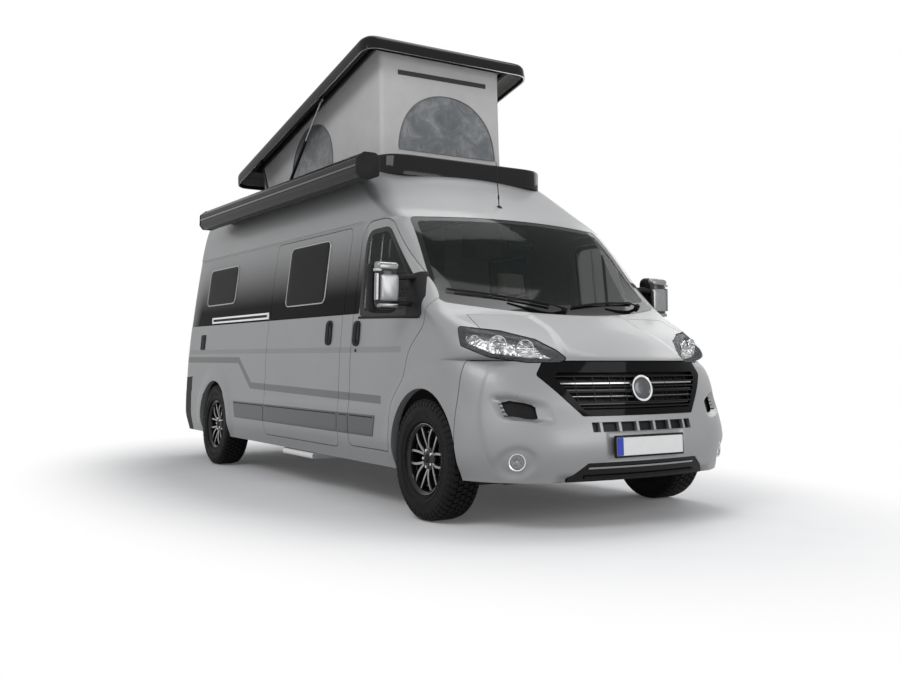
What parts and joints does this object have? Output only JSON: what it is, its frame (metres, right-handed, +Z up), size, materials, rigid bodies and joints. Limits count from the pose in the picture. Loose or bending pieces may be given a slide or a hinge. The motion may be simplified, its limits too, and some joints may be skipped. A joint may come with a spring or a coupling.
{
  "type": "camper van",
  "caption": "High-roof camper van with a rear-hinged lifting tent roof, sliding side door, side awning case, entry step and roadgoing wheels.",
  "frame": {"origin": "on the floor under the middle of the body's length and width", "axes": "+X forward, +Y to the van's left, +Z up"},
  "size_m": [5.9982, 2.508, 3.5236],
  "materials": {
    "paint": "metallic light grey body paint",
    "black_paint": "gloss black",
    "black_plastic": "grained black",
    "chassis_black": "satin black underbody",
    "window_glass": "tinted",
    "acrylic_window": "dark tinted acrylic in a bright frame",
    "lamp": "clear lamp",
    "tail_lamp": "red lens",
    "tyre": "black rubber",
    "rim": "gloss black alloy with turned edges",
    "steel": "plain steel",
    "cast": "cast metal",
    "alu": "anodised",
    "awning_black": "black anodised",
    "shell": "black outside, pale grey lining",
    "canvas": "light grey tent cloth",
    "seat_cloth": "beige upholstery",
    "dash": "soft black",
    "furniture": "pale laminate"
  },
  "bodies": {
    "body": {"floor_pan": "chassis_black", "side_wall_left": "paint", "side_wall_right": "paint", "high_roof": "paint", "front_wings": "paint", "front_bumper": "paint", "grille": "black_plastic", "headlights": "lamp", "windscreen": "window_glass", "sliding_door": "paint", "side_windows": "acrylic_window", "tail_lights": "tail_lamp", "rear_bumper": "black_plastic", "roof_frame": "black_plastic", "awning_case": "awning_black", "dashboard": "dash", "cab_seats": "seat_cloth", "living_furniture": "furniture", "rear_bed": "seat_cloth", "rear_axle": "steel", "engine_block": "cast", "roof_tent": "canvas"},
    "bonnet": {"bonnet": "paint"},
    "front_door_right": {"front_door_right": "paint", "door_window_right": "window_glass", "mirror_right": "black_plastic"},
    "rear_door_right": {"rear_door_right": "paint", "rear_window_right": "acrylic_window"},
    "knuckle_right": {"knuckle_right": "cast"},
    "front_door_left": {"front_door_left": "paint", "door_window_left": "window_glass", "mirror_left": "black_plastic"},
    "rear_door_left": {"rear_door_left": "paint", "rear_window_left": "acrylic_window"},
    "knuckle_left": {"knuckle_left": "cast"},
    "wheel_front_right": {"tyre_front_right": "tyre", "rim_front_right": "rim"},
    "wheel_front_left": {"tyre_front_left": "tyre", "rim_front_left": "rim"},
    "wheel_rear_right": {"tyre_rear_right": "tyre", "rim_rear_right": "rim"},
    "wheel_rear_left": {"tyre_rear_left": "tyre", "rim_rear_left": "rim"},
    "steering_wheel": {"steering_wheel": "dash"},
    "roof_links": {"roof_links": "chassis_black"},
    "roof_shell": {"roof_shell": "shell"},
    "strut_barrels": {"strut_barrels": "chassis_black"},
    "strut_rods": {"strut_rods": "steel"},
    "entry_step": {"entry_step": "alu"}
  },
  "joints": [
    {"name": "steer_right", "type": "hinge", "parent": "body", "child": "knuckle_right", "pos_m": [2.051, -0.85, 0.372], "axis": [0, 0, 1], "range_deg": [-32, 32]},
    {"name": "steer_left", "type": "hinge", "parent": "body", "child": "knuckle_left", "pos_m": [2.051, 0.85, 0.372], "axis": [0, 0, 1], "range_deg": [-32, 32]},
    {"name": "spin_front_right", "type": "hinge", "parent": "knuckle_right", "child": "wheel_front_right", "pos_m": [2.051, -0.905, 0.372], "axis": [0, 1, 0], "continuous": true},
    {"name": "spin_front_left", "type": "hinge", "parent": "knuckle_left", "child": "wheel_front_left", "pos_m": [2.051, 0.905, 0.372], "axis": [0, 1, 0], "continuous": true},
    {"name": "spin_rear_right", "type": "hinge", "parent": "body", "child": "wheel_rear_right", "pos_m": [-1.984, -0.895, 0.372], "axis": [0, 1, 0], "continuous": true},
    {"name": "spin_rear_left", "type": "hinge", "parent": "body", "child": "wheel_rear_left", "pos_m": [-1.984, 0.895, 0.372], "axis": [0, 1, 0], "continuous": true},
    {"name": "steering_wheel_turn", "type": "hinge", "parent": "body", "child": "steering_wheel", "pos_m": [1.621, 0.43, 1.195], "axis": [-0.766, 0, 0.6428], "range_deg": [-480, 480]},
    {"name": "front_door_right_swing", "type": "hinge", "parent": "body", "child": "front_door_right", "pos_m": [2.0305, -1, 1], "axis": [0, 0, 1], "range_deg": [0, 70]},
    {"name": "rear_door_right_swing", "type": "hinge", "parent": "body", "child": "rear_door_right", "pos_m": [-3.001, -0.7945, 1.3], "axis": [0, 0, 1], "range_deg": [0, 180]},
    {"name": "front_door_left_swing", "type": "hinge", "parent": "body", "child": "front_door_left", "pos_m": [2.0305, 1, 1], "axis": [0, 0, -1], "range_deg": [0, 70]},
    {"name": "rear_door_left_swing", "type": "hinge", "parent": "body", "child": "rear_door_left", "pos_m": [-3.001, 0.7945, 1.3], "axis": [0, 0, -1], "range_deg": [0, 180]},
    {"name": "bonnet_lift", "type": "hinge", "parent": "body", "child": "bonnet", "pos_m": [2.194, 0, 1.315], "axis": [0, -1, 0], "range_deg": [0, 60]},
    {"name": "roof_link_fold", "type": "hinge", "parent": "body", "child": "roof_links", "pos_m": [-1.599, 0, 2.55], "axis": [0, -1, 0], "range_deg": [0, 53.2]},
    {"name": "roof_close", "type": "hinge", "parent": "roof_links", "child": "roof_shell", "pos_m": [-1.79943, 0, 2.86101], "axis": [0, 1, 0], "range_deg": [0, 66.7], "deforming": ["roof_tent"]},
    {"name": "strut_swing", "type": "hinge", "parent": "body", "child": "strut_barrels", "pos_m": [-1.049, 0, 2.544], "axis": [0, 1, 0], "range_deg": [0, 41.46]},
    {"name": "strut_telescope", "type": "slide", "parent": "strut_barrels", "child": "strut_rods", "axis": [-0.7302, 0, -0.6832], "range_m": [0, 0.3867]},
    {"name": "entry_step_slide", "type": "slide", "parent": "body", "child": "entry_step", "axis": [0, -1, 0], "range_m": [0, 0.25]}
  ],
  "couplings": [
    {"joint": "steer_left", "follows": "steer_right", "ratio": 1},
    {"joint": "steering_wheel_turn", "follows": "steer_right", "ratio": 15},
    {"joint": "roof_link_fold", "follows": "roof_close", "ratio": 0.7976},
    {"joint": "strut_swing", "follows": "roof_close", "ratio": 0.62153},
    {"joint": "strut_telescope", "follows": "roof_close", "m_per_rad": 0.33218}
  ]
}
